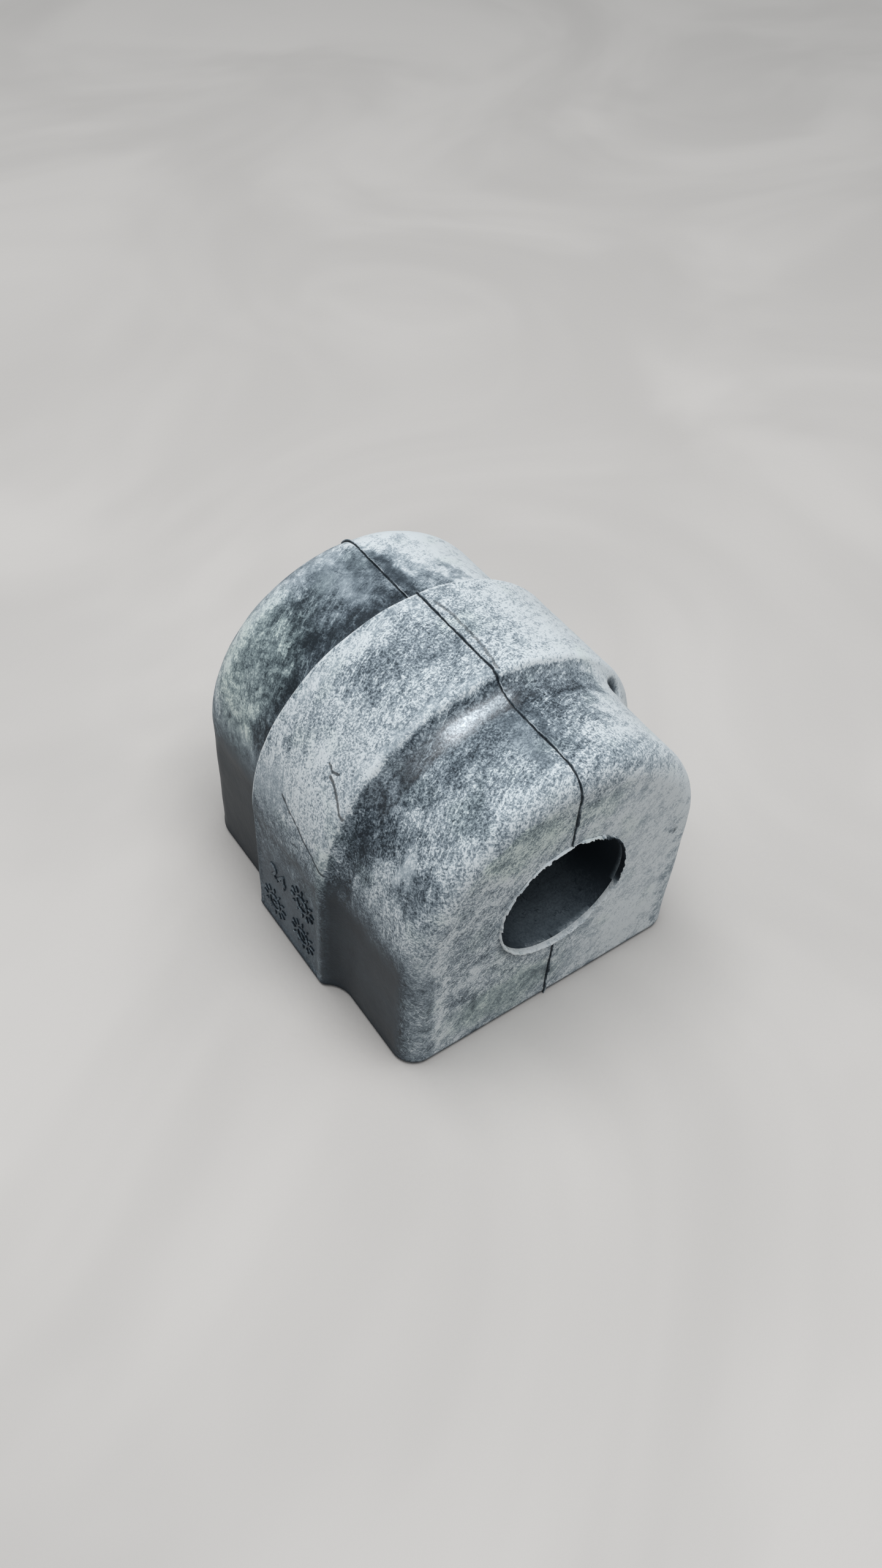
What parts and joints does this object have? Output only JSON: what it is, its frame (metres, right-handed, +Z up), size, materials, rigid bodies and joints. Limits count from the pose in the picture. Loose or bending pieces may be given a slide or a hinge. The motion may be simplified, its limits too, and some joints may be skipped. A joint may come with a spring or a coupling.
{
  "type": "rubber anti-roll bar bush",
  "caption": "Moulded rubber bush that holds a round anti-roll bar: flat base, arched top with a raised band, and a round bore right through it.",
  "frame": {"origin": "on the flat base, midway between the two end faces and in the middle plane of the mould", "axes": "+Y along the bore, from the ramped front end to the end behind the band's square shoulder; +Z up from the base; +X across the width"},
  "size_m": [0.0572, 0.0606, 0.054],
  "materials": {
    "rubber": "matt charcoal rubber with a pale dusty bloom"
  },
  "bodies": {
    "root": {"bush": "rubber"}
  },
  "joints": []
}
